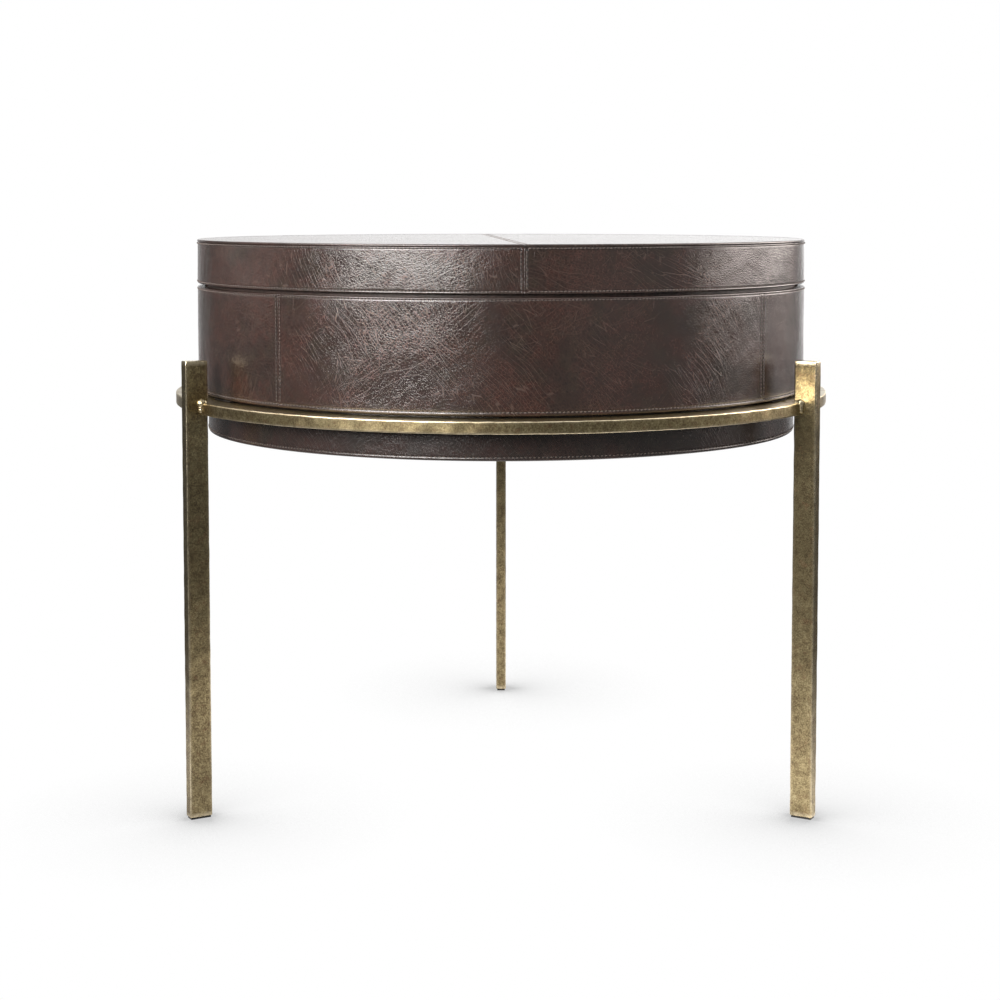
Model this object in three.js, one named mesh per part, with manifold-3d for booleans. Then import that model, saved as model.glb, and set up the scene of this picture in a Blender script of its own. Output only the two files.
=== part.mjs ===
// A round leather-covered storage drum with a lift-off lid, carried by a brass ring on three flat legs.
// Millimetres, +Z up. The origin is on the floor, under the middle of the table's outline.
// The legs stand at the back and at the two front corners; -Y is the front.

import * as THREE from "three";
import { mergeVertices } from "three/addons/utils/BufferGeometryUtils.js";
import Module from "manifold-3d";

const wasm = await Module();
wasm.setup();

// Driving dimensions of the whole table
const DRUM_RADIUS = 305; // outside of the leather, also of the lid
const RING_TOP_HEIGHT = 396.5; // floor to the face that carries the drum
const BODY_HEIGHT = 103; // leather body, from its ledge up to its rim
const LID_GROOVE = 3.3; // open line between the body's rim and the lid
const LID_HEIGHT = 43; // lid, from its hem to its top
const LOWER_RECESS = 9.4; // how far the lower band stands back from the body
const LOWER_DEPTH = 40.2; // how far the lower band hangs below the ledge

// Legs, flat bars with their broad sides facing along the ring
const LEG_BEARINGS = [90, 210, 330]; // degrees about +Z, counted from +X
const LEG_NAMES = ["rear", "front_left", "front_right"];
const LEG_WIDTH = 22; // across the ring
const LEG_THICKNESS = 11.5; // along the ring
const LEG_HEIGHT = 436; // floor to the top end
const LEG_DRUM_GAP = 15.4; // open space between the drum and each leg
const LEG_CHAMFER = 0.6;

// Ring, a flat hoop let onto the legs at three notches
const RING_WIDTH = 28.5; // across the bar, seen from above
const RING_THICKNESS = 11.2;
const RING_DRUM_CLEARANCE = 3.4; // ring's bore to the lower band

// Small metal, felt and plastic pieces
const WELD_RADIUS = 2.6; // round fillet in the corner between ring and leg
const WELD_LUMP_RADIUS = 3.4; // lump where the two runs of a weld meet
const WELD_SIDES = 12;
const GLIDE_THICKNESS = 1.5;
const GLIDE_INSET = 1.2; // glide's edge to the leg's edge
const PAD_THICKNESS = 1.1; // felt between the ring and the drum's ledge
const PAD_LENGTH = 36;
const PAD_MARGIN = 0.6; // pad's sides to the ring's bore and to the drum's outside

// Sheet and board thicknesses
const LEATHER = 1.5;
const LINING = 1.2;
const INNER_HOOP_PLY = 8;
const BOTTOM_PLY = 12;
const LID_PANEL_PLY = 12;
const TOUCH_GAP = 0.3; // left between pieces that touch

// Turned edges and fits
const LID_CLEARANCE = 1.5; // lip to the lid's lining, all round
const LOWER_HEM = 14; // lower band's leather turned in under the bottom
const TOP_TURN = 3; // lid top's leather turned down over its edge
const SEAM_GAP = 0.4; // between two panels of leather at a seam
const EDGE_BREAK = 0.7; // the leather's outer corners

// Seams, in degrees about +Z, counted from +X
const BODY_SEAMS = [228.75, 322.5, 52.5, 138.75];
const LID_SEAM = 273.75;

// Fineness of the round pieces
const FULL_TURN = 360; // degrees
const SIDES = 96;
const INSIDE_SIDES = SIDES / 2; // discs and linings that lie inside other rings
const STEP_ANGLE = FULL_TURN / SIDES;

// Radii, from the outside in
const legInnerRadius = DRUM_RADIUS + LEG_DRUM_GAP;
const legMidRadius = legInnerRadius + LEG_WIDTH / 2;
const legOuterRadius = legInnerRadius + LEG_WIDTH;
const hoopOuterRadius = DRUM_RADIUS - LEATHER - TOUCH_GAP;
const lowerRadius = DRUM_RADIUS - LOWER_RECESS;
const innerHoopOuterRadius = lowerRadius - LEATHER - TOUCH_GAP;
const innerHoopInnerRadius = innerHoopOuterRadius - INNER_HOOP_PLY;
const wallLiningOuterRadius = innerHoopInnerRadius - TOUCH_GAP;
const wallLiningInnerRadius = wallLiningOuterRadius - LINING;
const bodyHoopInnerRadius = innerHoopOuterRadius + TOUCH_GAP;
const ringInnerRadius = lowerRadius + RING_DRUM_CLEARANCE;
const ringOuterRadius = ringInnerRadius + RING_WIDTH;
const lipOuterRadius = bodyHoopInnerRadius + LINING;
const skirtLiningInnerRadius = lipOuterRadius + LID_CLEARANCE;
const lidHoopInnerRadius = skirtLiningInnerRadius + LINING + TOUCH_GAP;
const hemInnerRadius = lowerRadius + TOUCH_GAP;

// Heights, from the floor up
const legBottom = GLIDE_THICKNESS + TOUCH_GAP;
const ringBottom = RING_TOP_HEIGHT - RING_THICKNESS;
const padBottom = RING_TOP_HEIGHT + TOUCH_GAP;
const ledgeHeight = padBottom + PAD_THICKNESS + TOUCH_GAP;
const rimHeight = ledgeHeight + BODY_HEIGHT;
const lidBottom = rimHeight + LID_GROOVE;
const lidTop = lidBottom + LID_HEIGHT;
const drumBottom = ledgeHeight - LOWER_DEPTH;
const hoopBottom = drumBottom + LEATHER + TOUCH_GAP;
const bottomPanelTop = hoopBottom + BOTTOM_PLY;
const floorLiningTop = bottomPanelTop + TOUCH_GAP + LINING;
const lidPanelTop = lidTop - LEATHER - TOUCH_GAP;
const lidPanelBottom = lidPanelTop - LID_PANEL_PLY;
const lidLiningBottom = lidPanelBottom - TOUCH_GAP - LINING;
const lipTop = lidLiningBottom - TOUCH_GAP;
const innerHoopTop = lipTop - LINING - TOUCH_GAP;

// The table's outline runs from the ring's front to the rear leg, and the origin is in its middle.
const axisShift = (ringOuterRadius - legOuterRadius) / 2;

const radians = THREE.MathUtils.degToRad;

const FINISHES = {
  brass: { color: 0x9a8458, roughness: 0.42, metalness: 1.0 },
  weld: { color: 0xa8936a, roughness: 0.5, metalness: 1.0 },
  leather: { color: 0x40302b, roughness: 0.45, metalness: 0.0 },
  leather_edge: { color: 0x2b2523, roughness: 0.5, metalness: 0.0 },
  plywood: { color: 0xb58f5f, roughness: 0.7, metalness: 0.0 },
  lining: { color: 0x6f5a48, roughness: 0.95, metalness: 0.0 },
  felt: { color: 0x38322d, roughness: 1.0, metalness: 0.0 },
  plastic: { color: 0x1c1b1a, roughness: 0.6, metalness: 0.0 },
};

function piece(name, geometry, finish) {
  const mesh = new THREE.Mesh(geometry, new THREE.MeshStandardMaterial(FINISHES[finish]));
  mesh.name = name;
  return mesh;
}

function polar(radius, degrees) {
  return new THREE.Vector2(radius * Math.cos(radians(degrees)), radius * Math.sin(radians(degrees)));
}

// Angle, in degrees, that a sideways offset takes up at a radius.
function offsetAngle(offset, radius) {
  return THREE.MathUtils.radToDeg(Math.asin(offset / radius));
}

function toSolid(geometry) {
  const bare = geometry.clone();
  bare.deleteAttribute("normal");
  bare.deleteAttribute("uv");
  const merged = mergeVertices(bare);
  return new wasm.Manifold(new wasm.Mesh({
    numProp: 3,
    vertProperties: merged.attributes.position.array,
    triVerts: new Uint32Array(merged.index.array),
  }));
}

function toGeometry(solid) {
  const mesh = solid.getMesh();
  const geometry = new THREE.BufferGeometry();
  geometry.setAttribute("position", new THREE.BufferAttribute(mesh.vertProperties, 3));
  geometry.setIndex(new THREE.BufferAttribute(mesh.triVerts, 1));
  return geometry;
}

// A full ring or disc about +Z, from a profile of [radius, height] points that turns anticlockwise.
function turned(profile, sides = SIDES) {
  const points = profile.map(([radius, height]) => new THREE.Vector2(radius, height));
  if (profile[0][0] > 0) points.push(points[0].clone());
  const geometry = new THREE.LatheGeometry(points, sides);
  geometry.rotateX(radians(90));
  return geometry;
}

class ArcPath extends THREE.Curve {
  constructor(radius, from, to) {
    super();
    this.radius = radius;
    this.from = from;
    this.to = to;
  }

  getPoint(share, target = new THREE.Vector3()) {
    const spot = polar(this.radius, this.from + (this.to - this.from) * share);
    return target.set(spot.x, spot.y, 0);
  }
}

// Part of a ring about +Z, from a profile of [radius, height] points, between two bearings.
function sweptArc(profile, from, to) {
  const radius = DRUM_RADIUS;
  const outline = new THREE.Shape(profile.map(([r, z]) => new THREE.Vector2(-z, radius - r)));
  return new THREE.ExtrudeGeometry(outline, {
    steps: Math.ceil((to - from) / STEP_ANGLE),
    extrudePath: new ArcPath(radius, from, to),
    bevelEnabled: false,
  });
}

// The two ends of a broken edge on the outside of a profile, at its foot and at its top.
function footEdge(radius, bottom) {
  return [[radius - EDGE_BREAK, bottom], [radius, bottom + EDGE_BREAK]];
}

function topEdge(radius, top) {
  return [[radius, top - EDGE_BREAK], [radius - EDGE_BREAK, top]];
}

// Legs, their glides, the ring, its welds and its felt pads
function legBar() {
  const half = new THREE.Vector2(LEG_WIDTH / 2 - LEG_CHAMFER, LEG_THICKNESS / 2 - LEG_CHAMFER);
  const outline = new THREE.Shape([
    new THREE.Vector2(-half.x, -half.y),
    new THREE.Vector2(half.x, -half.y),
    new THREE.Vector2(half.x, half.y),
    new THREE.Vector2(-half.x, half.y),
  ]);
  const geometry = new THREE.ExtrudeGeometry(outline, {
    depth: LEG_HEIGHT - legBottom - 2 * LEG_CHAMFER,
    bevelSize: LEG_CHAMFER,
    bevelThickness: LEG_CHAMFER,
    bevelSegments: 1,
  });
  geometry.translate(legMidRadius, 0, legBottom + LEG_CHAMFER);
  return geometry;
}

function glide() {
  const geometry = new THREE.BoxGeometry(
    LEG_WIDTH - 2 * GLIDE_INSET,
    LEG_THICKNESS - 2 * GLIDE_INSET,
    GLIDE_THICKNESS,
  );
  geometry.translate(legMidRadius, 0, GLIDE_THICKNESS / 2);
  return geometry;
}

// The hoop's outline runs round its rim and steps in at each leg.
function ringGeometry() {
  const halfNotch = LEG_THICKNESS / 2 + TOUCH_GAP;
  const notchRadius = legInnerRadius - TOUCH_GAP;
  const floorTurn = offsetAngle(halfNotch, notchRadius);
  const rimTurn = offsetAngle(halfNotch, ringOuterRadius);
  const points = [];
  LEG_BEARINGS.forEach((bearing, index) => {
    const next = LEG_BEARINGS[index + 1] ?? LEG_BEARINGS[0] + FULL_TURN;
    points.push(polar(notchRadius, bearing - floorTurn));
    points.push(polar(notchRadius, bearing + floorTurn));
    const from = bearing + rimTurn;
    const to = next - rimTurn;
    const steps = Math.ceil((to - from) / STEP_ANGLE);
    for (let step = 0; step <= steps; step += 1) {
      points.push(polar(ringOuterRadius, from + (to - from) * step / steps));
    }
  });
  const outline = new THREE.Shape(points);
  const bore = [];
  for (let step = 0; step < SIDES; step += 1) bore.push(polar(ringInnerRadius, -step * STEP_ANGLE));
  outline.holes.push(new THREE.Path(bore));
  const geometry = new THREE.ExtrudeGeometry(outline, { depth: RING_THICKNESS, bevelEnabled: false });
  geometry.translate(0, 0, ringBottom);
  return geometry;
}

// One weld has a run on the ring's top along the leg's side, a run down the ring's rim,
// and a lump where the two meet.
function weldGeometry(side) {
  const legFace = LEG_THICKNESS / 2 + TOUCH_GAP;
  const ringFace = RING_TOP_HEIGHT + TOUCH_GAP;
  const rimFace = ringOuterRadius + TOUCH_GAP;
  const reach = legOuterRadius;
  const topRun = new THREE.CylinderGeometry(WELD_RADIUS, WELD_RADIUS, rimFace - legInnerRadius, WELD_SIDES);
  topRun.rotateZ(radians(90));
  topRun.translate((rimFace + legInnerRadius) / 2, side * legFace, ringFace);
  const rimRun = new THREE.CylinderGeometry(WELD_RADIUS, WELD_RADIUS, ringFace - ringBottom, WELD_SIDES);
  rimRun.rotateX(radians(90));
  rimRun.translate(rimFace, side * legFace, (ringFace + ringBottom) / 2);
  const lump = new THREE.SphereGeometry(WELD_LUMP_RADIUS, WELD_SIDES, WELD_SIDES / 2);
  lump.translate(rimFace, side * legFace, ringFace);
  const ringBlock = new THREE.BoxGeometry(rimFace, reach, ringFace);
  ringBlock.translate(rimFace / 2, 0, ringFace / 2);
  const legBlock = new THREE.BoxGeometry(2 * reach, 2 * legFace, 2 * reach);
  legBlock.translate(reach, 0, ringFace);
  const runs = toSolid(topRun).add(toSolid(rimRun)).add(toSolid(lump));
  return toGeometry(runs.subtract(toSolid(ringBlock)).subtract(toSolid(legBlock)));
}

function padGeometry() {
  const inner = ringInnerRadius + PAD_MARGIN;
  const outer = DRUM_RADIUS - PAD_MARGIN;
  const half = THREE.MathUtils.radToDeg(PAD_LENGTH / 2 / outer);
  return sweptArc([
    [inner, padBottom],
    [outer, padBottom],
    [outer, padBottom + PAD_THICKNESS],
    [inner, padBottom + PAD_THICKNESS],
  ], -half, half);
}

function frameGroup() {
  const frame = new THREE.Group();
  frame.add(piece("support_ring", ringGeometry(), "brass"));
  LEG_NAMES.forEach((name, index) => {
    const corner = new THREE.Group();
    corner.rotation.z = radians(LEG_BEARINGS[index]);
    corner.add(piece("leg_" + name, legBar(), "brass"));
    corner.add(piece("glide_" + name, glide(), "plastic"));
    corner.add(piece("ring_pad_" + name, padGeometry(), "felt"));
    corner.add(piece("weld_" + name + "_left", weldGeometry(1), "weld"));
    corner.add(piece("weld_" + name + "_right", weldGeometry(-1), "weld"));
    frame.add(corner);
  });
  return frame;
}

// Drum: two plywood hoops, a bottom, four leather panels, the lower band, the lip and the linings
function bodyPanelProfile() {
  return [
    [hemInnerRadius, ledgeHeight],
    ...footEdge(DRUM_RADIUS, ledgeHeight),
    ...topEdge(DRUM_RADIUS, rimHeight),
    [hemInnerRadius, rimHeight],
    [hemInnerRadius, rimHeight - LEATHER],
    [DRUM_RADIUS - LEATHER, rimHeight - LEATHER],
    [DRUM_RADIUS - LEATHER, ledgeHeight + LEATHER],
    [hemInnerRadius, ledgeHeight + LEATHER],
  ];
}

function seamPanel(profile, from, to) {
  const margin = offsetAngle(SEAM_GAP / 2, DRUM_RADIUS);
  return sweptArc(profile, from + margin, to - margin);
}

function tube(inner, outer, bottom, top, sides) {
  return turned([[inner, bottom], [outer, bottom], [outer, top], [inner, top]], sides);
}

function disc(radius, bottom, top, sides) {
  return turned([[0, bottom], [radius, bottom], [radius, top], [0, top]], sides);
}

function drumGroup() {
  const drum = new THREE.Group();
  const boardBottom = ledgeHeight + LEATHER + TOUCH_GAP;
  const boardTop = rimHeight - LEATHER - TOUCH_GAP;
  drum.add(piece("inner_hoop",
    tube(innerHoopInnerRadius, innerHoopOuterRadius, hoopBottom, innerHoopTop), "plywood"));
  drum.add(piece("body_hoop",
    tube(bodyHoopInnerRadius, hoopOuterRadius, boardBottom, boardTop), "plywood"));
  drum.add(piece("bottom_panel",
    disc(innerHoopInnerRadius - TOUCH_GAP, hoopBottom, bottomPanelTop, INSIDE_SIDES), "plywood"));
  drum.add(piece("floor_lining",
    disc(wallLiningOuterRadius, bottomPanelTop + TOUCH_GAP, floorLiningTop, INSIDE_SIDES), "lining"));
  const wallFoot = floorLiningTop + TOUCH_GAP;
  drum.add(piece("wall_lining",
    tube(wallLiningInnerRadius, wallLiningOuterRadius, wallFoot, innerHoopTop, INSIDE_SIDES), "lining"));
  drum.add(piece("lip_wrap", turned([
    [wallLiningInnerRadius, lipTop - LINING],
    [bodyHoopInnerRadius, lipTop - LINING],
    [bodyHoopInnerRadius, rimHeight - LEATHER],
    [lipOuterRadius, rimHeight - LEATHER],
    [lipOuterRadius, lipTop],
    [wallLiningInnerRadius, lipTop],
  ]), "leather_edge"));
  const hemEnd = lowerRadius - LOWER_HEM;
  drum.add(piece("lower_band", turned([
    [hemEnd, drumBottom],
    ...footEdge(lowerRadius, drumBottom),
    [lowerRadius, ledgeHeight + LEATHER],
    [lowerRadius - LEATHER, ledgeHeight + LEATHER],
    [lowerRadius - LEATHER, drumBottom + LEATHER],
    [hemEnd, drumBottom + LEATHER],
  ]), "leather_edge"));
  drum.add(piece("underside_cover",
    disc(hemEnd - TOUCH_GAP, drumBottom + LEATHER - LINING, drumBottom + LEATHER, INSIDE_SIDES), "felt"));
  const names = ["front", "right", "rear", "left"];
  BODY_SEAMS.forEach((from, index) => {
    const last = BODY_SEAMS[index + 1] ?? BODY_SEAMS[0];
    const to = last > from ? last : last + FULL_TURN;
    drum.add(piece("body_leather_" + names[index], seamPanel(bodyPanelProfile(), from, to), "leather"));
  });
  return drum;
}

// Lid: a panel on a skirt hoop, its leather top in two halves, its band in two halves, and the linings
function lidBandProfile() {
  const top = lidTop - TOP_TURN - TOUCH_GAP;
  const hemEnd = lidHoopInnerRadius;
  return [
    [hemEnd, lidBottom],
    ...footEdge(DRUM_RADIUS, lidBottom),
    [DRUM_RADIUS, top],
    [DRUM_RADIUS - LEATHER, top],
    [DRUM_RADIUS - LEATHER, lidBottom + LEATHER],
    [hemEnd, lidBottom + LEATHER],
  ];
}

// The lid's top leather is one turned disc cut in two along its seam.
function lidTopHalves() {
  const cover = toSolid(turned([
    [0, lidTop - LEATHER],
    [DRUM_RADIUS - LEATHER, lidTop - LEATHER],
    [DRUM_RADIUS - LEATHER, lidTop - TOP_TURN],
    [DRUM_RADIUS, lidTop - TOP_TURN],
    ...topEdge(DRUM_RADIUS, lidTop),
    [0, lidTop],
  ]));
  return [-1, 1].map((side) => {
    const block = new THREE.BoxGeometry(2 * DRUM_RADIUS + LEATHER, DRUM_RADIUS + LEATHER, LID_HEIGHT);
    block.translate(0, side * (DRUM_RADIUS + LEATHER + SEAM_GAP) / 2, lidTop);
    block.rotateZ(radians(LID_SEAM));
    return toGeometry(cover.intersect(toSolid(block)));
  });
}

function lidGroup() {
  const lid = new THREE.Group();
  const hoopTop = lidPanelBottom - TOUCH_GAP;
  const boardBottom = lidBottom + LEATHER + TOUCH_GAP;
  lid.add(piece("lid_panel", disc(hoopOuterRadius, lidPanelBottom, lidPanelTop), "plywood"));
  lid.add(piece("lid_hoop", tube(lidHoopInnerRadius, hoopOuterRadius, boardBottom, hoopTop), "plywood"));
  lid.add(piece("lid_skirt_lining",
    tube(skirtLiningInnerRadius, lidHoopInnerRadius - TOUCH_GAP, lidBottom, hoopTop), "lining"));
  lid.add(piece("lid_panel_lining",
    disc(skirtLiningInnerRadius - TOUCH_GAP, lidLiningBottom, lidPanelBottom - TOUCH_GAP, INSIDE_SIDES),
    "lining"));
  const [left, right] = lidTopHalves();
  const farSeam = LID_SEAM + FULL_TURN / 2;
  lid.add(piece("lid_top_left", left, "leather"));
  lid.add(piece("lid_top_right", right, "leather"));
  lid.add(piece("lid_band_right", seamPanel(lidBandProfile(), LID_SEAM, farSeam), "leather"));
  lid.add(piece("lid_band_left", seamPanel(lidBandProfile(), farSeam, LID_SEAM + FULL_TURN), "leather"));
  return lid;
}

const table = new THREE.Group();
table.position.y = axisShift;
table.add(frameGroup());
table.add(drumGroup());
table.add(lidGroup());

export default table;
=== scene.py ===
"""Looks of a round leather-covered storage drum on a brass ring with three legs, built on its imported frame.

Metres, +Z up, the front towards -Y. Every size comes from the frame's nodes or from the values named here.
"""

import math

import bmesh
import bpy
import numpy as np
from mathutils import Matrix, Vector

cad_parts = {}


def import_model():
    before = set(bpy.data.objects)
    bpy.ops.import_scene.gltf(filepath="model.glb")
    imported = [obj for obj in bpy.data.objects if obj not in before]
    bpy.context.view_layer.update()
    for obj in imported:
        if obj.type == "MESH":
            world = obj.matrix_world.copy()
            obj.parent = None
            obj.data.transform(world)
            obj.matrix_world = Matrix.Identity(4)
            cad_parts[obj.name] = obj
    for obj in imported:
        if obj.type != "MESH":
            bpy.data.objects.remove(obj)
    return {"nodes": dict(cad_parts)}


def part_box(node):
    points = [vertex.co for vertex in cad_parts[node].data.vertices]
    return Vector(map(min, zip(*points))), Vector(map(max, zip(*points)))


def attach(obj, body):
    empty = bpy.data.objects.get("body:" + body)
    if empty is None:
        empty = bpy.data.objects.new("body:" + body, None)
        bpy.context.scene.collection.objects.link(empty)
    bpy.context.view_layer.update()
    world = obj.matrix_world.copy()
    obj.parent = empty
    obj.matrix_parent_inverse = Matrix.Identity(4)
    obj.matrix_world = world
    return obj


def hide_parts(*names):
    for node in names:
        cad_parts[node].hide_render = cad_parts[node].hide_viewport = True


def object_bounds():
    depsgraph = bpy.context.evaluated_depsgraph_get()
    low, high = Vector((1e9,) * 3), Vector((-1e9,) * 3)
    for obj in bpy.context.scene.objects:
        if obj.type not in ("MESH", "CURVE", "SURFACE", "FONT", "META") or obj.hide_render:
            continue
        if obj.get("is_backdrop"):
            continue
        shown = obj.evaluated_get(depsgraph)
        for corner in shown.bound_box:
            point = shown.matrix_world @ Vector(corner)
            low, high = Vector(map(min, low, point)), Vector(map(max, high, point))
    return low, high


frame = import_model()
cad_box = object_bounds()
scene = bpy.context.scene

MM = 0.001
TURN = 2 * math.pi
SKIN_MAP = "skin"
WEAR = "wear"

# Camera, from a fit to the rims and feet in the photograph
IMAGE_SIDE = 1000
FOCAL_PIXELS = 1952.8
PRINCIPAL_COLUMN = 501.0
PRINCIPAL_ROW = 350.0
SENSOR_MM = 36.0
CAMERA_DISTANCE = 1.987
CAMERA_HEIGHT = 0.581
CAMERA_PITCH = 4.24

# Leather and its folds
THICKNESS = 1.5 * MM
FOLD = 1.9 * MM
HEM_FOLD = 0.9 * MM
RIM_FOLD = 1.0 * MM
BODY_TURN_IN = 3 * MM
BAND_TURN_IN = 2.5 * MM
UNDULATIONS = ((48 * MM, 0.10 * MM), (15 * MM, 0.035 * MM))
WAVES = 18
ARC_STEP = 1.5 * MM
HEIGHT_STEP = 2.2 * MM
FINE_STEP = 0.34 * MM
SEAM_OVERLAP = 0.15 * MM
INNER_EVERY = 4

# Linings
LINING_FINE = 0.5 * MM
LINING_COARSE = 7 * MM
LINING_SECTIONS = 480
LINING_BUSY = 8

# Threads, and needle holes as dark lenses of painted shade
PITCH = 3.45 * MM
LOOSE_PITCH = 3.8 * MM
STITCH_LENGTH = 2.2 * MM
STITCH_RADIUS = 0.54 * MM
STITCH_SLANT = 0.12
STITCH_SINK = 0.12 * MM
STITCH_ARCH = 0.42 * MM
STITCH_FLATNESS = 0.8
STITCH_STATIONS = ((-0.82, 0.72), (-0.35, 1.0), (0.35, 1.0), (0.82, 0.72))
SLANT_SPREAD = 0.05
LENGTH_SPREAD = 0.04
PLACE_SPREAD = 0.06 * MM
THREAD_LIFT = 0.1 * MM
TOP_THREAD_SINK = 0.42 * MM
HOLE_RADIUS = 0.78 * MM
HOLE_DEPTH = 0.16 * MM
HOLE_RIM = 0.3
HOLE_CROWN = 0.4

# Rows of stitches, and the leather beside them
SEAM_SPREAD = 2.5 * MM
SEAM_CLEAR = 0.9 * SEAM_SPREAD
SEAM_GROOVE = 0.16 * MM
GROOVE_DEPTH = 0.26 * MM
GROOVE_WIDTH = 0.62 * MM
HEM_ROLL = 0.05 * MM
HEM_ROLL_PLACE = 0.42
HEM_ROLL_WIDTH = 0.4
LID_TOP_ROW = 3.7 * MM
LID_HEM_ROW = 2.1 * MM
RIM_ROW = 2.0 * MM
LEDGE_ROW = 3.5 * MM
LOWER_ROW = 3.3 * MM
# A seam's dip, the roll beside it and the row's groove: distance from the seam, width and height
SEAM_BELLS = (
    (0, 0.35 * MM, -0.09 * MM), (SEAM_SPREAD / 2, 1.0 * MM, 0.04 * MM),
    (SEAM_SPREAD, GROOVE_WIDTH, -SEAM_GROOVE),
)

# Lid's edge. The valley, dip and face are counted in beads.
BEAD = 1.25 * MM
BEAD_PROUD = 0.1 * MM
BEAD_TURN = (-150, 125)
BEAD_POINTS = 30
UNDER_POINTS = 24
VALLEY = 1.9
VALLEY_WIDTH = 1.2 * MM
DIP_IN = 1.15
DIP_DOWN = 0.3
FACE_DOWN = 0.12
FACE_STEP = 3 * MM
SHOULDER = 1.5 * MM
SHOULDER_RUN = 1.6
SHOULDER_RISE = 0.1
SHOULDER_START = 2 * MM
CREST = 0.3 * MM
BAND_LEAN = 0.5 * MM

# Lid's top
TOP_STEP = 2 * MM
RIM_FADE = 6 * MM
SEAM_AT_RIM = 0.1
SEAM_INSIDE = 0.15
TOP_ROW_END = 5 * MM
PINCH_DEPTH = 0.5 * MM
PINCH_WIDTH = 0.6 * MM
SAME_PLACE = 0.002 * MM

# Brass
BAR_EDGE = 1.1 * MM
FACE_PLACES = (0.03, *np.linspace(0.1, 0.9, 7), 0.97)
ARC_POINTS = 6
ARC_WEAR = 0.45
FACE_WEAR = 0.29
FACE_WEAR_WIDTH = 0.8 * MM
END_WEAR = 1.2 * MM
NOTCH_CLEARANCE = 0.3 * MM
NOTCH_STEPS = 3
NOTCH_QUIET = 5 * MM
RING_SEED = 31
RING_STEP = math.radians(0.5)
LEG_STEP = 4 * MM
LEG_END_POINTS = 5
WELD_RADIUS = 2.2 * MM
WELD_RIPPLE = 2.3 * MM
WELD_RIPPLE_DEPTH = 0.4 * MM
WELD_BLOB = 1.5 * MM
WELD_BLOB_WIDTH = 2.6 * MM
WELD_TAPER = 1.6 * MM
WELD_SIDES = 14
WELD_TOP_POINTS = 22
WELD_RIM_POINTS = 14
WELD_LEAST = 0.5
WELD_GAP = 0.1 * MM
WELD_START = 1.0 * MM
WELD_END = 1.5 * MM
WELD_SPREAD = 0.09 * MM
WELD_JITTER = 0.035
WELD_WEAR = 0.55

# Creases of the hide: angle, width, length, thinness, patches, seed, and weight
CREASES = (
    (40, 4.0 * MM, 46 * MM, 0.055, (70 * MM, 0.27, 0.62), 11.0, 1.0),
    (36, 2.4 * MM, 15 * MM, 0.08, (40 * MM, 0.32, 0.70), 17.0, 0.3),
    (-42, 5 * MM, 34 * MM, 0.035, (60 * MM, 0.42, 0.62), 23.0, 0.8),
    (-62, 9 * MM, 50 * MM, 0.02, (80 * MM, 0.44, 0.62), 37.0, 0.8),
)
NET = (38, 2.3 * MM, 3.3 * MM, 0.19, (24 * MM, 0.0, 0.34), 53.0)
BRASS_STOPS = (
    (0.0, (0.078, 0.053, 0.031)), (0.35, (0.25, 0.197, 0.109)), (0.62, (0.455, 0.38, 0.209)),
    (1.0, (0.78, 0.685, 0.43)),
)


def camera():
    data = bpy.data.cameras.new("camera")
    data.sensor_width = SENSOR_MM
    data.lens = FOCAL_PIXELS * SENSOR_MM / IMAGE_SIDE
    data.shift_x = 0.5 - PRINCIPAL_COLUMN / IMAGE_SIDE
    data.shift_y = PRINCIPAL_ROW / IMAGE_SIDE - 0.5
    eye = bpy.data.objects.new("camera", data)
    eye.location = (AXIS[0], AXIS[1] - CAMERA_DISTANCE, CAMERA_HEIGHT)
    eye.rotation_euler = (math.radians(90 - CAMERA_PITCH), 0, 0)
    scene.collection.objects.link(eye)
    scene.camera = eye


def corners_of(node):
    mesh = frame["nodes"][node].data
    flat = np.zeros(3 * len(mesh.vertices))
    mesh.vertices.foreach_get("co", flat)
    return flat.reshape(-1, 3)


def heights(node):
    low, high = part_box(node)
    return low.z, high.z


def middle_of(node):
    return np.mean(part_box(node), axis=0)[:2]


AXIS = middle_of("inner_hoop")


def radii(node):
    """Least and greatest distance of a node's corners from the drum's axis."""
    reach = np.hypot(*(corners_of(node)[:, :2] - AXIS).T)
    return reach.min(), reach.max()


def bearings(node):
    """First and last bearing of a node about the drum's axis, in radians."""
    x, y = (corners_of(node)[:, :2] - AXIS).T
    middle = math.atan2(y.mean(), x.mean())
    turn = (np.arctan2(y, x) - middle + math.pi) % TURN - math.pi
    return middle + turn.min(), middle + turn.max()


# Sizes that several pieces share
RADIUS = radii("body_leather_front")[1]
LEDGE, RIM = heights("body_leather_front")
LID_BOTTOM, BAND_TOP = heights("lid_band_left")
LID_TOP = heights("lid_top_left")[1]
LOWER_RADIUS = radii("lower_band")[1]
LOWER_BOTTOM = heights("lower_band")[0]
RING_INNER, RING_OUTER = radii("support_ring")
RING_BOTTOM, RING_TOP = heights("support_ring")
LID_SEAM = bearings("lid_band_right")[0]
LEG_NAMES = ("rear", "front_left", "front_right")
leg_low, leg_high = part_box("leg_rear")
LEG_WIDTH = leg_high.y - leg_low.y
LEG_DEPTH = leg_high.x - leg_low.x
LEG_FACE = leg_low.y - AXIS[1]
CENTRE = np.array([*AXIS, 0])
UP = np.array([0.0, 0.0, 1.0])


# Curves and numbers
def unit(way):
    return way / np.linalg.norm(way, axis=-1, keepdims=True)


def run_along(places):
    return np.concatenate([[0], np.cumsum(np.linalg.norm(np.diff(places, axis=0), axis=1))])


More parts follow.
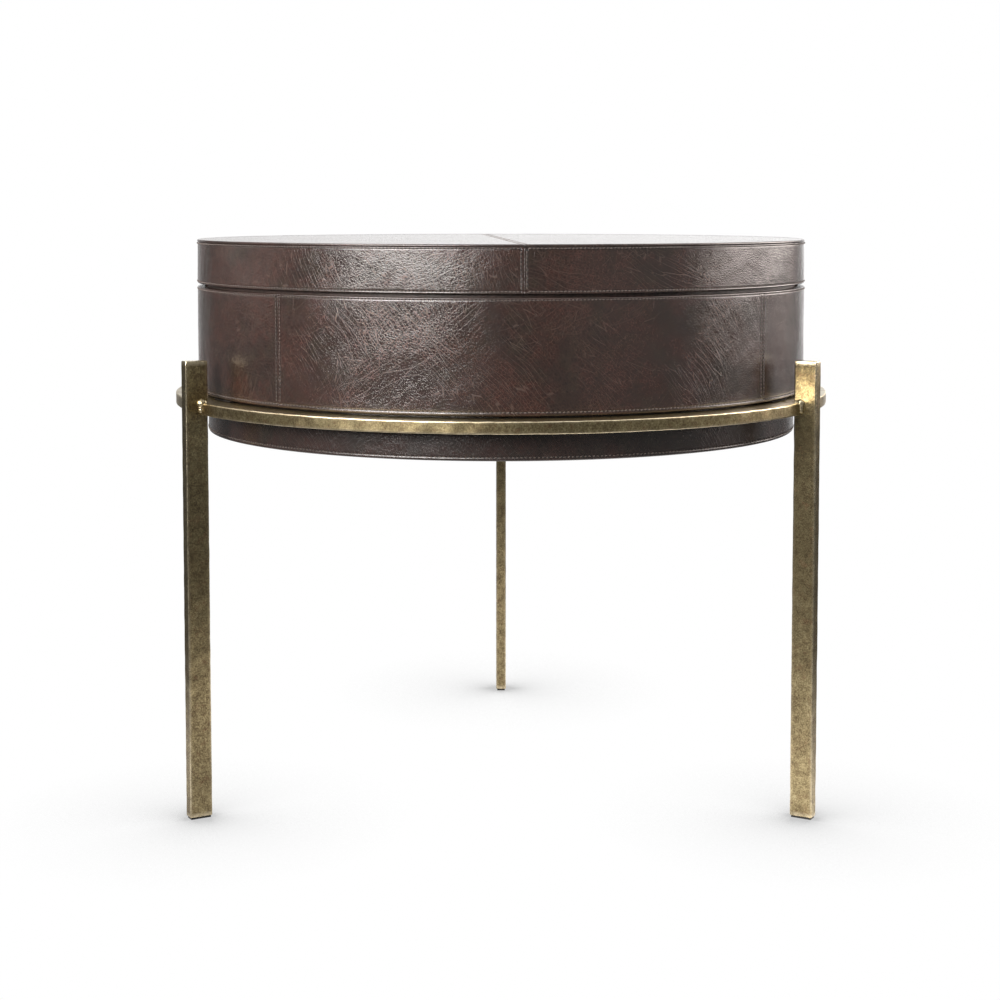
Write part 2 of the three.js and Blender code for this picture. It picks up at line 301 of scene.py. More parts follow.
def uneven(length, busy, finest=FINE_STEP, coarsest=HEIGHT_STEP, margin=1.2 * MM, growth=0.25):
    """Places from zero to length, close together near the busy ones."""
    fine = np.linspace(0, length, int(length / (finest / 2)) + 2)
    apart = np.abs(fine[:, None] - np.array(busy)[None, :]).min(1)
    spacing = np.clip(finest + growth * (apart - margin), finest, coarsest)
    count = np.concatenate([[0], np.cumsum(np.diff(fine) / spacing[:-1])])
    return np.interp(np.linspace(0, count[-1], math.ceil(count[-1]) + 1), count, fine)


class Outline:
    """Straight stretches joined by round corners, as [radius, height] places. Its right side is outside."""

    def __init__(self, corners, arc_points=24):
        places = []
        for index, (radius, height, rounding) in enumerate(corners):
            here = np.array([radius, height])
            if rounding == 0:
                places.append(here)
                continue
            before, after = (unit(np.array(corners[index + step][:2]) - here) for step in (-1, 1))
            half = math.acos(np.clip(before @ after, -1, 1)) / 2
            reach = rounding / math.tan(half)
            centre = here + unit(before + after) * rounding / math.sin(half)
            start, end = (np.arctan2(*(here + way * reach - centre)[::-1]) for way in (before, after))
            sweep = (end - start + math.pi) % TURN - math.pi
            turns = start + sweep * np.linspace(0, 1, arc_points)
            places.extend(centre + rounding * np.stack([np.cos(turns), np.sin(turns)], 1))
        self.places = np.array(places)
        self.run = run_along(self.places)
        self.length = self.run[-1]

    def at(self, run):
        return np.stack([np.interp(run, self.run, self.places[:, k]) for k in (0, 1)], -1)

    def outward(self, run, reach=0.15 * MM):
        ahead = unit(self.at(np.minimum(run + reach, self.length)) - self.at(np.maximum(run - reach, 0)))
        return np.stack([ahead[..., 1], -ahead[..., 0]], -1)

    def run_at_height(self, height):
        """Run along the outline where its outer wall passes a height."""
        wall = self.outward(self.run)[:, 0] > 0.9
        return np.interp(height, self.places[wall, 1], self.run[wall])


def bell(distance, width):
    return np.exp(-(distance / width) ** 2)


def waves(seed, widest):
    """Wavelength, depth, direction and start of each wave in a hide's unevenness."""
    random = np.random.default_rng(seed)
    for wavelength, depth in UNDULATIONS:
        for _ in range(WAVES):
            yield wavelength, depth / math.sqrt(WAVES), random.uniform(0, widest), random.uniform(0, TURN)


def undulation(theta, height, seed):
    """Gentle unevenness of leather stretched on a hoop, the same after a full turn."""
    total = np.zeros(np.broadcast(theta, height).shape)
    for wavelength, depth, angle, start in waves(seed, math.pi):
        lobes = round(TURN * RADIUS * math.cos(angle) / wavelength)
        rise = TURN * math.sin(angle) / wavelength
        total += depth * np.cos(lobes * theta + rise * height + start)
    return total


def flat_undulation(x, y, seed):
    total = np.zeros(np.broadcast(x, y).shape)
    for wavelength, depth, angle, start in waves(seed, TURN):
        along = x * math.cos(angle) + y * math.sin(angle)
        total += depth * np.cos(TURN * along / wavelength + start)
    return total


def seam_relief(distance):
    """Height of the leather beside a seam."""
    return sum(height * bell(distance - place, width) for place, width, height in SEAM_BELLS)


def row_relief(distance, inset):
    """The same beside a hem, with distance from the hem's edge and the row's inset."""
    groove = -GROOVE_DEPTH * bell(distance - inset, GROOVE_WIDTH)
    return groove + HEM_ROLL * bell(distance - inset * HEM_ROLL_PLACE, inset * HEM_ROLL_WIDTH)


# Meshes
def new_piece(mesh, body, slot, material, *nodes):
    mesh.shade_smooth()
    mesh.materials.append(material)
    ob = bpy.data.objects.new(mesh.name, mesh)
    scene.collection.objects.link(ob)
    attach(ob, body)
    if nodes:
        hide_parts(*nodes)


def section_mesh(name, points, closed, chart=None, wear=None):
    """A closed section swept along a way. points[i, j] is corner j of section i, and chart[i, j] its place on
    the sheet, with one more column because the section closes, and one more row where the way closes too."""
    rows, columns = points.shape[:2]
    if chart is None:
        chart = np.zeros((rows + 1, columns + 1, 2))
    steps = rows if closed else rows - 1
    i, j = (grid.ravel() for grid in np.meshgrid(np.arange(steps), np.arange(columns), indexing="ij"))
    ways = ((0, 0), (1, 0), (1, 1), (0, 1))
    faces = np.stack([(i + a) % rows * columns + (j + b) % columns for a, b in ways], 1).tolist()
    spots = np.stack([chart[i + a, j + b] for a, b in ways], 1).reshape(-1, 2)
    if not closed:
        faces.append(list(range(columns)))
        faces.append([(rows - 1) * columns + corner for corner in reversed(range(columns))])
        spots = np.concatenate([spots, chart[0, :columns], chart[-1, :columns][::-1]])
    mesh = bpy.data.meshes.new(name)
    mesh.from_pydata(points.reshape(-1, 3).tolist(), [], faces)
    mesh.uv_layers.new(name=SKIN_MAP).uv.foreach_set("vector", spots.astype(np.float32).ravel())
    if wear is not None:
        mesh.attributes.new(WEAR, "FLOAT", "POINT").data.foreach_set("value", wear.astype(np.float32).ravel())
    return mesh


def round_points(radius, theta, height):
    x, y = AXIS[0] + radius * np.cos(theta), AXIS[1] + radius * np.sin(theta)
    return np.stack([x, y, height + 0 * theta], -1)


def turned_chart(arc, run, grain, shift):
    """Places on the hide, in metres, for an arc and a run along the outline, cut at the grain's angle."""
    return np.stack([
        arc * math.cos(grain) - run * math.sin(grain) + shift,
        arc * math.sin(grain) + run * math.cos(grain) + shift / 2,
    ], -1)


def leather_mesh(name, outline, runs, thetas, closed, relief, grain, shift):
    """A sheet that follows an outline in radius and height round the axis. relief lifts its outer face."""
    inner_runs = runs[::-INNER_EVERY]
    if inner_runs[-1] != runs[0]:
        inner_runs = np.append(inner_runs, runs[0])
    place, outward = outline.at(runs), outline.outward(runs)
    outer = place + outward * relief(thetas[:, None], place[None], outward[None])[..., None]
    inner = outline.at(inner_runs) - outline.outward(inner_runs) * THICKNESS
    section = np.concatenate([outer, np.broadcast_to(inner, (len(thetas), *inner.shape))], 1)
    points = round_points(section[..., 0], thetas[:, None], section[..., 1])
    loop = np.concatenate([runs, runs[-1] + THICKNESS + (inner_runs[0] - inner_runs)])
    loop = np.append(loop, loop[-1] + THICKNESS)
    arcs = np.append(thetas, thetas[0] + TURN) if closed else thetas
    return section_mesh(name, points, closed, turned_chart(arcs[:, None] * RADIUS, loop[None], grain, shift))


def arc_steps(start, end, coarsest=ARC_STEP):
    """Bearings from a panel's first end to its last, closer near the seams, where the ends nearly meet."""
    start, end = start - SEAM_OVERLAP / RADIUS, end + SEAM_OVERLAP / RADIUS
    length = (end - start) * RADIUS
    busy = [0, SEAM_SPREAD, length - SEAM_SPREAD, length]
    return start + uneven(length, busy, coarsest=coarsest) / RADIUS


# Walls of leather: each knows its rows, so that its threads lie in its grooves
def wall_relief(seed, ends, rows):
    """ends are the bearings of a panel's seams, and rows the heights of each hem's edge and its stitches."""
    def relief(theta, place, outward):
        height = place[..., 1]
        facing = np.clip(outward[..., 0], 0, 1) ** 2
        lift = undulation(theta, height, seed) * facing
        for edge, row in rows:
            side = np.sign(row - edge)
            lift = lift + row_relief((height - edge) * side, abs(row - edge)) * facing
        if ends:
            for distance in (theta - ends[0], ends[1] - theta):
                lift = lift + seam_relief(distance * RADIUS)
        return lift
    return relief


def wall(name, body, slot, node, outline, busy, rows, ends, seed, grain, material):
    """A wall of leather between two seams, or right round where ends is None. busy are heights."""
    runs = uneven(outline.length, [outline.run_at_height(height) for height in busy])
    around = round(TURN * LOWER_RADIUS / ARC_STEP)
    thetas = arc_steps(*ends) if ends else np.linspace(0, TURN, around, endpoint=False)
    mesh = leather_mesh(name, outline, runs, thetas, not ends, wall_relief(seed, ends, rows), grain, seed)
    new_piece(mesh, body, slot, material, node)


def body_panel(which, seed, grain, material):
    node = "body_leather_" + which
    inner = RADIUS - THICKNESS - FOLD - BODY_TURN_IN
    outline = Outline([(inner, LEDGE, 0), (RADIUS, LEDGE, FOLD), (RADIUS, RIM, RIM_FOLD), (inner, RIM, 0)])
    busy = (LEDGE + FOLD, LEDGE + LEDGE_ROW, RIM - RIM_ROW, RIM - RIM_FOLD)
    wall("body_skin_" + which, "drum", "brown_leather", node, outline, busy, BODY_ROWS,
         bearings(node), seed, grain, material)


def band_panel(side, seed, grain, material):
    """The band leans in by a trace towards the top, where its shoulder goes under the bead."""
    node = "lid_band_" + side
    inner = RADIUS - THICKNESS - FOLD - BAND_TURN_IN
    lean = RADIUS - BAND_LEAN
    crest = LID_TOP - 2 * BEAD + CREST
    outline = Outline([
        (inner, LID_BOTTOM, 0), (RADIUS, LID_BOTTOM, HEM_FOLD), (lean, crest, SHOULDER),
        (lean - SHOULDER_RUN * SHOULDER, crest + SHOULDER_RISE * SHOULDER, 0),
    ])
    busy = (LID_BOTTOM + HEM_FOLD, LID_BOTTOM + LID_HEM_ROW, LID_TOP - LID_TOP_ROW, BAND_TOP - SHOULDER_START)
    wall("lid_band_skin_" + side, "lid", "brown_leather", node, outline, busy, BAND_ROWS,
         bearings(node), seed, grain, material)


def lower_band(seed, grain, material):
    inner, top = radii("lower_band")[0], heights("lower_band")[1]
    outline = Outline([(inner, LOWER_BOTTOM, 0), (LOWER_RADIUS, LOWER_BOTTOM, FOLD), (LOWER_RADIUS, top, 0)])
    busy = (LOWER_BOTTOM + FOLD, LOWER_BOTTOM + LOWER_ROW)
    wall("lower_band_skin", "drum", "dark_leather", "lower_band", outline, busy, LOWER_ROWS,
         None, seed, grain, material)


BODY_ROWS = ((LEDGE, LEDGE + LEDGE_ROW), (RIM, RIM - RIM_ROW))
BAND_ROWS = ((LID_BOTTOM, LID_BOTTOM + LID_HEM_ROW), (BAND_TOP, LID_TOP - LID_TOP_ROW))
LOWER_ROWS = ((LOWER_BOTTOM, LOWER_BOTTOM + LOWER_ROW),)


# Lid's top: two half discs with a rolled bead along the rim and a stitched seam across
def top_section():
    """Radius and height along the underside, the bead and the upper face."""
    bead_centre = np.array([RADIUS + BEAD_PROUD - BEAD, LID_TOP - BEAD])
    flat_end = bead_centre[0] - VALLEY * BEAD
    reach = np.linspace(0, RADIUS - 2 * THICKNESS, UNDER_POINTS)
    under = np.stack([reach, np.full(UNDER_POINTS, LID_TOP - THICKNESS)], 1)
    turns = np.radians(np.linspace(*BEAD_TURN, BEAD_POINTS))
    bead = bead_centre + BEAD * np.stack([np.cos(turns), np.sin(turns)], 1)
    dip = np.array([[bead_centre[0] - DIP_IN * BEAD, LID_TOP - DIP_DOWN * BEAD]])
    runs = uneven(flat_end, [flat_end], coarsest=FACE_STEP)[::-1]
    face = np.stack([runs, np.full(len(runs), LID_TOP - FACE_DOWN * BEAD)], 1)
    face[:, 1] -= FACE_DOWN * BEAD * bell(face[:, 0] - flat_end, VALLEY_WIDTH)
    return under, bead, np.concatenate([dip, face])


def from_seam(x, y):
    """Distance from the seam across the lid's top, at places about the axis."""
    return np.abs(-x * math.sin(LID_SEAM) + y * math.cos(LID_SEAM))


def top_relief(x, y, seed):
    """Height of the lid's upper face, at places about the axis."""
    fade = 1 - bell(RADIUS - np.hypot(x, y), RIM_FADE)
    seam = seam_relief(from_seam(x, y)) * (SEAM_AT_RIM + SEAM_INSIDE * fade)
    return flat_undulation(x, y, seed) * fade + seam


def lid_half(side, seed, grain, material):
    gap = abs(LID_SEAM - bearings("lid_band_left")[1] + TURN) % TURN * RADIUS / 2
    start = LID_SEAM if side == "right" else LID_SEAM + math.pi
    under, bead, face = top_section()
    section = np.concatenate([under, bead, face])
    shares = arc_steps(0, math.pi, TOP_STEP) / math.pi
    radius = np.maximum(section[:, 0], gap)
    lost = np.arcsin(gap / radius)
    theta = start + lost + (math.pi - 2 * lost) * shares[:, None]
    x, y = radius * np.cos(theta), radius * np.sin(theta)
    height = np.broadcast_to(section[:, 1], theta.shape).copy()
    first_face = len(under) + len(bead)
    on_bead, upper = slice(len(under), first_face), slice(first_face, None)
    height[:, upper] += top_relief(x[:, upper], y[:, upper], seed)
    height[:, on_bead] -= PINCH_DEPTH * bell(from_seam(x, y)[:, on_bead], PINCH_WIDTH)
    points = np.stack([AXIS[0] + x, AXIS[1] + y, height], -1)
    rim = np.where(np.arange(len(section)) < first_face, section[:, 1] - LID_TOP, 0)
    chart = turned_chart(x + rim, y, grain, seed)
    chart = np.concatenate([chart, chart[:, :1]], 1)
    mesh = section_mesh("lid_top_skin_" + side, points, False, chart)
    tidy_middle(mesh)
    new_piece(mesh, "lid", "brown_leather", material, "lid_top_" + side)


def tidy_middle(mesh):
    """Joins the corners that meet in the middle of a disc."""
    work = bmesh.new()
    work.from_mesh(mesh)
    bmesh.ops.remove_doubles(work, verts=work.verts, dist=SAME_PLACE)
    bmesh.ops.dissolve_degenerate(work, edges=work.edges, dist=SAME_PLACE / 2)
    work.to_mesh(mesh)
    work.free()


# Threads
def stitch_shape(sides=6):
    """One stitch along X, of half length 1 and radius 1: corners and faces."""
    corners = [(-1.0, 0.0, 0.0)]
    for x, radius in STITCH_STATIONS:
        for turn in (TURN * k / sides for k in range(sides)):
            corners.append((x, radius * math.cos(turn), radius * math.sin(turn)))
    corners.append((1.0, 0.0, 0.0))
    last = len(corners) - 1
    faces = []
    for k in range(sides):
        after = (k + 1) % sides
        faces.append((0, 1 + after, 1 + k))
        for a in range(1, last - sides, sides):
            faces.append((a + k, a + after, a + sides + after, a + sides + k))
        faces.append((last, last - sides + k, last - sides + after))
    return np.array(corners), faces


def stitch_piece(name, body, places, along, outward, materials, seed, pitch=PITCH):
    """One mesh of many stitches, each at a place, with the row's direction and the leather's outward one."""
    random = np.random.default_rng(seed)
    shape, faces = stitch_shape()
    count = len(places)
    across = np.cross(outward, along)
    holes = hole_points(places + along * pitch / 2, along, across, outward)
    slant = STITCH_SLANT + random.normal(0, SLANT_SPREAD, (count, 1))
    run = unit(along + across * slant)
    across = np.cross(outward, run)
    length = STITCH_LENGTH / 2 * random.normal(1, LENGTH_SPREAD, (count, 1, 1))
    places = places + across * random.normal(0, PLACE_SPREAD, (count, 1))
    points = places[:, None] + run[:, None] * shape[None, :, :1] * length
    points = points + across[:, None] * shape[None, :, 1:2] * STITCH_RADIUS
    arch = (1 - shape[None, :, :1] ** 2) * STITCH_ARCH - STITCH_SINK
    points = points + outward[:, None] * (shape[None, :, 2:3] * STITCH_RADIUS * STITCH_FLATNESS + arch)
    all_faces = [tuple(corner + k * len(shape) for corner in face) for k in range(count) for face in faces]
    threads = len(all_faces)
    rim = holes.shape[1] - 2
    for k in range(count):
        middle = count * len(shape) + k * (rim + 2)
        for step in range(rim):
            here, after = middle + 2 + step, middle + 2 + (step + 1) % rim
            all_faces.extend([(middle, here, after), (middle + 1, after, here)])
    mesh = bpy.data.meshes.new(name)
    corners = np.concatenate([points.reshape(-1, 3), holes.reshape(-1, 3)])
    mesh.from_pydata(corners.tolist(), [], all_faces)
    new_piece(mesh, body, "brown_leather", materials[0])
    # The second material paints the shade inside the needle holes
    mesh.materials.append(materials[1])
    mesh.polygons.foreach_set("material_index", [0] * threads + [1] * (len(all_faces) - threads))


def hole_points(places, along, across, outward, around=8):
    """Flat dark lenses of painted shade where the needle went through: the outer middle, the inner middle,
    then the rim.
    """
    turns = np.arange(around)[None, :, None] * TURN / around
    rim = places[:, None] + HOLE_RADIUS * (np.cos(turns) * along[:, None] + np.sin(turns) * across[:, None])
    rim = rim - outward[:, None] * HOLE_DEPTH * HOLE_RIM
    middles = np.stack([places + outward * HOLE_DEPTH * HOLE_CROWN, places - outward * HOLE_DEPTH], 1)
    return np.concatenate([middles, rim], 1)


def wall_frames(radius, theta, height):
    """Places, level direction and outward direction on an upright wall about the axis."""
    places = round_points(radius, theta, height)
    level = np.stack([-np.sin(theta), np.cos(theta), 0 * theta], -1)
    outward = np.stack([np.cos(theta), np.sin(theta), 0 * theta], -1)
    return places, level, outward


def hoop_row(name, height, pitch, materials, body, radius, rows, spans, seams):
    """Stitches right round a wall, left out at seams. spans are the panels' seeds, starts and ends."""
    count = round(TURN * radius / pitch)
    theta = (np.arange(count) + 0.5) * TURN / count
    for seam in seams:
        apart = np.abs((theta - seam + math.pi) % TURN - math.pi) * radius
        theta = theta[apart > SEAM_CLEAR]
    lift = np.zeros(len(theta))
    for seed, start, end in spans:
        here = wall_relief(seed, None, rows)(theta, np.array([radius, height]), np.array([1.0, 0.0]))
        lift = np.where((theta - start) % TURN <= end - start, here, lift)
    places, level, outward = wall_frames(radius + lift + THREAD_LIFT, theta, height)
    stitch_piece(name, body, places, level, outward, materials, int(height / MM), pitch)


def seam_rows(name, body, seams, low, high, materials, seed):
    """An upright row on each side of each seam."""
    count = round((high - low) / PITCH)
    spots = [seam + side * SEAM_SPREAD / RADIUS for seam in seams for side in (-1, 1)]
    theta = np.repeat(spots, count)
    height = np.tile(low + (np.arange(count) + 0.5) * (high - low) / count, len(spots))
    places, _, outward = wall_frames(RADIUS - SEAM_GROOVE + THREAD_LIFT, theta, height)
    stitch_piece(name, body, places, np.tile(UP, (len(theta), 1)), outward, materials, seed)


def lid_top_rows(materials):
    """A row on each side of the seam across the lid's top."""
    ahead = np.array([math.cos(LID_SEAM), math.sin(LID_SEAM), 0.0])
    aside = np.array([-math.sin(LID_SEAM), math.cos(LID_SEAM), 0.0])
    reach = RADIUS - TOP_ROW_END
    count = round(2 * reach / PITCH)
    run = (np.arange(count) + 0.5) * 2 * reach / count - reach
    places = []
    for side, seed in ((1, TOPS["right"][0]), (-1, TOPS["left"][0])):
        spot = run[:, None] * ahead + side * SEAM_SPREAD * aside
        spot[:, 2] = LID_TOP + top_relief(spot[:, 0], spot[:, 1], seed) - TOP_THREAD_SINK
        places.append(spot + CENTRE)
    places = np.concatenate(places)
    along, up = (np.tile(way, (len(places), 1)) for way in (ahead, UP))
    stitch_piece("threads_lid_top_seam", "lid", places, along, up, materials, 5)


# Brass bars
def bar_section(width, depth):
    """A rectangle with round corners about zero, anticlockwise, and each corner's nearness to an edge."""
    places, wear = [], []
    middles = np.array([(1, -1), (1, 1), (-1, 1), (-1, -1)]) * (np.array([width, depth]) / 2 - BAR_EDGE)
    for corner, centre in enumerate(middles):
        for share in np.linspace(0, 1, ARC_POINTS):
            turn = math.radians((corner - 1 + share) * 90)
            places.append(centre + BAR_EDGE * np.array([math.cos(turn), math.sin(turn)]))
            wear.append(float(bell(share - 0.5, ARC_WEAR)))
        begin = places[-1]
        along = middles[(corner + 1) % 4] - centre
        length = np.linalg.norm(along)
        for share in FACE_PLACES:
            places.append(begin + along * share)
            wear.append(FACE_WEAR * float(bell(min(share, 1 - share) * length, FACE_WEAR_WIDTH)))
    return np.array(places), np.array(wear)


def metal_unevenness(points, seed, depth=0.09 * MM, wavelength=16 * MM):
    random = np.random.default_rng(seed)
    total = np.zeros(points.shape[:-1])
    for _ in range(WAVES):
        way = random.normal(0, 1, 3)
        way *= TURN / wavelength / np.linalg.norm(way)
        total += depth / math.sqrt(WAVES) * np.cos(points @ way + random.uniform(0, TURN))
    return total


def ring_bar(material):
    """The hoop with a notch for each leg: its rim steps in to the leg's inner face."""
    half_notch = LEG_DEPTH / 2 + NOTCH_CLEARANCE
    notch_radius = LEG_FACE - NOTCH_CLEARANCE
    section, wear = bar_section(RING_OUTER - RING_INNER, RING_TOP - RING_BOTTOM)
    section = section + [(RING_OUTER + RING_INNER) / 2, (RING_TOP + RING_BOTTOM) / 2]
    narrow = section.copy()
    share = (section[:, 0] - RING_INNER) / (RING_OUTER - RING_INNER)
    narrow[:, 0] = RING_INNER + share * (notch_radius - RING_INNER)
    sections, thetas, weights = [], [], []
    marks = sorted(math.atan2(*(middle_of("leg_" + name) - AXIS)[::-1]) % TURN for name in LEG_NAMES)
    for mark, following in zip(marks, [*marks[1:], marks[0] + TURN]):
        for side, shape in ((-1, section), (-1, narrow), (1, narrow), (1, section)):
            sections.append(shape)
            thetas.append(mark + side * np.arcsin(half_notch / shape[:, 0]))
            weights.append(np.where(shape is section, wear, 0))
        steps = round((following - mark) / RING_STEP)
        for step in range(NOTCH_STEPS, steps - NOTCH_STEPS + 1):
            sections.append(section)
            thetas.append(np.full(len(section), mark + (following - mark) * step / steps))
            weights.append(wear)
    thetas = np.array(thetas)
    radius, height = np.moveaxis(np.array(sections), -1, 0)
    flat = round_points(radius, thetas, height)
    lift = metal_unevenness(flat, RING_SEED) * (radius > notch_radius - NOTCH_QUIET)
    points = round_points(radius + lift, thetas, height + metal_unevenness(flat, RING_SEED + 1))
    mesh = section_mesh("ring_bar", points, True, wear=np.array(weights))
    new_piece(mesh, "frame", "antique_brass", material, "support_ring")


def turn_to(node):
    """Unit directions outwards and sideways at a leg, and its middle's distance from the axis."""
    away = middle_of(node) - AXIS
    reach = np.linalg.norm(away)
    outward = away / reach
    return np.array([*outward, 0]), np.array([-outward[1], outward[0], 0]), reach


def leg_bar(name, seed, material):
    node = "leg_" + name
    outward, aside, reach = turn_to(node)
    bottom, top = heights(node)
    section, wear = bar_section(LEG_WIDTH, LEG_DEPTH)
    steps = round((top - bottom) / LEG_STEP)
    turns = np.radians(np.linspace(0, 90, LEG_END_POINTS))
    ends = [(math.sin(turn), BAR_EDGE * (1 - math.cos(turn))) for turn in turns]
    levels = [(bottom + rise, inset) for inset, rise in ends]
    levels += [(bottom + BAR_EDGE + (top - bottom - 2 * BAR_EDGE) * k / steps, 1.0) for k in range(1, steps)]
    levels += [(top - rise, inset) for inset, rise in reversed(ends)]
    middle = CENTRE + outward * reach
    points, weights = [], []
    for height, inset in levels:
        spot = section * (1 - (1 - inset) * BAR_EDGE * 2 / np.array([LEG_WIDTH, LEG_DEPTH]))
        points.append(middle + spot[:, :1] * outward + spot[:, 1:] * aside + [0, 0, height])
        weights.append(np.maximum(wear, bell(min(height - bottom, top - height) - BAR_EDGE, END_WEAR)))
    points = np.array(points)
    normal = unit(section)
    bulge = metal_unevenness(points, seed)[..., None]
    points = points + bulge * (normal[:, :1] * outward + normal[:, 1:] * aside)
    mesh = section_mesh("leg_bar_" + name, points, False, wear=np.array(weights))
    new_piece(mesh, "frame", "antique_brass", material, node)


def weld_bead(name, side, seed, material):
    """A rippled bead along the ring's top beside the leg, then down the ring's rim."""
    random = np.random.default_rng(seed)
    outward, aside, _ = turn_to("leg_" + name)
    face = LEG_DEPTH / 2 + WELD_GAP
    start = LEG_FACE + WELD_START
    drop = RING_TOP - RING_BOTTOM - WELD_END
    way = [(start + (RING_OUTER - start) * t, RING_TOP) for t in np.linspace(0, 1, WELD_TOP_POINTS)]
    way += [(RING_OUTER, RING_TOP - drop * t) for t in np.linspace(0, 1, WELD_RIM_POINTS)[1:]]
    way = np.array(way)
    run = run_along(way)
    radius = WELD_RADIUS + WELD_RIPPLE_DEPTH * np.abs(np.sin(math.pi * run / WELD_RIPPLE))
    radius += WELD_BLOB * bell(run - (RING_OUTER - start), WELD_BLOB_WIDTH)
    radius += random.normal(0, WELD_SPREAD, len(run))
    radius *= np.clip(np.sqrt(np.minimum(run, run[-1] - run) / WELD_TAPER), WELD_LEAST, 1)
    heading = unit(np.gradient(way, axis=0))
    across = np.stack([-heading[:, 1], heading[:, 0]], 1)
    turns = np.arange(WELD_SIDES) * TURN / WELD_SIDES
    points = []
    for place, normal, size in zip(way, across, radius):
        size = size * (1 + random.normal(0, WELD_JITTER, WELD_SIDES))
        spot = place + (np.cos(turns) * size)[:, None] * normal
        out = side * (face + np.sin(turns) * size)
        points.append(CENTRE + spot[:, :1] * outward + spot[:, 1:] * UP + out[:, None] * aside)
    points = np.array(points)
    if side > 0:
        points = points[:, ::-1]
    end = name + ("_left" if side > 0 else "_right")
    mesh = section_mesh("weld_bead_" + end, points, False, wear=np.full(points.shape[:2], WELD_WEAR))
    new_piece(mesh, "frame", "weld_brass", material, "weld_" + end)


# Linings, the lip and the cloth underneath
def turned_piece(name, node, body, slot, material, corners, seed):
    """A full turn of an outline, with the soft unevenness of a covering."""
    outline = Outline(corners)
    runs = uneven(outline.length, outline.run[::LINING_BUSY], LINING_FINE, LINING_COARSE)
    place, outward = outline.at(runs), outline.outward(runs)
    thetas = np.linspace(0, TURN, LINING_SECTIONS, endpoint=False)
    lift = undulation(thetas[:, None], place[None, :, 1] + place[None, :, 0], seed)
    lift[:, 0] = lift[:, -1] = 0
    section = place + outward * lift[..., None]
    points = round_points(section[..., 0], thetas[:, None], section[..., 1])
    arc, run = np.append(thetas, TURN)[:, None] * RADIUS, np.append(runs, runs[-1] + MM)[None]
    mesh = section_mesh(name, points, True, turned_chart(arc, run, 0.0, seed))
    if corners[0][0] == 0:
        tidy_middle(mesh)
    new_piece(mesh, body, slot, material, node)


def tube_lining(node, body, material, seed, soft=0.4 * MM):
    inner, outer = radii(node)
    bottom, top = heights(node)
    corners = [(inner, bottom, soft), (outer, bottom, soft), (outer, top, soft), (inner, top, soft)]
    start = (inner, (bottom + top) / 2, 0)
    turned_piece(node + "_suede", node, body, "suede_lining", material, [start, *corners, start], seed)


def disc_lining(node, body, slot, material, seed, soft=0.5 * MM):
    outer = radii(node)[1]
    bottom, top = heights(node)
    corners = [(0, bottom, 0), (outer, bottom, soft), (outer, top, soft), (0, top, 0)]
    turned_piece(node + "_cloth", node, body, slot, material, corners, seed)


def lip_leather(material, seed, soft=0.7 * MM):
    """The lip's leather lies over the hoop's end and down its outside."""
    inner, outer = radii("lip_wrap")
    bottom, top = heights("lip_wrap")
    sheet = np.diff(radii("wall_lining"))[0]
    turned_piece("lip_leather", "lip_wrap", "drum", "dark_leather", material, [
        (inner, top - sheet, 0), (outer - sheet, top - sheet, 0), (outer - sheet, bottom, 0),
        (outer, bottom, soft), (outer, top, soft), (inner, top, soft), (inner, top - sheet, 0),
    ], seed)


# Materials. New nodes go into the last of these trees.
trees = []


def feed(node, inputs):
    """Sets inputs of a node to numbers, or links them."""
    for name, value in inputs.items():
        if isinstance(value, bpy.types.NodeSocket):
            trees[-1].links.new(value, node.inputs[name])
        else:
            node.inputs[name].default_value = value


def add(kind, inputs=None, **settings):
    """A new node, with its settings and inputs."""
    node = trees[-1].nodes.new("ShaderNode" + kind)
    for name, value in settings.items():
        setattr(node, name, value)
    feed(node, inputs or {})
    return node


def noise(vector, size, detail=3.0, roughness=0.5, seed=0.0, distortion=0.0):
    return add("TexNoise", {
        "Vector": vector, "W": seed, "Scale": 1 / size, "Detail": detail, "Roughness": roughness,
        "Distortion": distortion,
    }, noise_dimensions="4D").outputs["Fac"]


def maths(operation, a, b=0.0, c=0.0):
    return add("Math", {0: a, 1: b, 2: c}, operation=operation).outputs[0]


def product(a, b):
    return maths("MULTIPLY", a, b)


def remap(value, low, high, new_low=0.0, new_high=1.0, smooth=True):
    kind = "SMOOTHSTEP" if smooth else "LINEAR"
    return add("MapRange", {
        "Value": value, "From Min": low, "From Max": high, "To Min": new_low, "To Max": new_high,
    }, interpolation_type=kind).outputs["Result"]


def mix(factor, a, b, blend="MIX"):
    a, b = ((*part, 1.0) if isinstance(part, tuple) else part for part in (a, b))
    node = add("Mix", {0: factor, 6: a, 7: b}, data_type="RGBA", blend_type=blend, clamp_factor=True)
    return node.outputs[2]


def feed_shader(material, **inputs):
    """The same for a material's shader. Underscores in the inputs' names stand for spaces."""
    feed(material.node_tree.nodes["Principled BSDF"], {key.replace("_", " "): inputs[key] for key in inputs})
    return material


def new_material(name, **inputs):
    """A material, whose tree takes the nodes that are added next."""
    material = bpy.data.materials.new(name)
    material.use_nodes = True
    trees.append(material.node_tree)
    return feed_shader(material, **inputs)


def surface(material, colour, height, distance, strength=1.0, **inputs):
    """Gives a material its colour, a bump of some height and other inputs that vary."""
    normal = add("Bump", {"Height": height, "Distance": distance, "Strength": strength}).outputs["Normal"]
    return feed_shader(material, Base_Color=colour, Normal=normal, **inputs)


def skin_place():
    return add("UVMap", uv_map=SKIN_MAP).outputs["UV"]


def solid_place():
    return add("TexCoord").outputs["Object"]


def times(share, colour):
    return tuple(share * part for part in colour)


def lying(place, angle, width, length):
    """Places turned by an angle, then counted in widths across and lengths along."""
    return add("Mapping", {
        "Vector": place, "Rotation": (0, 0, math.radians(angle)), "Scale": (width, length, 1.0),
    }, vector_type="TEXTURE").outputs["Vector"]


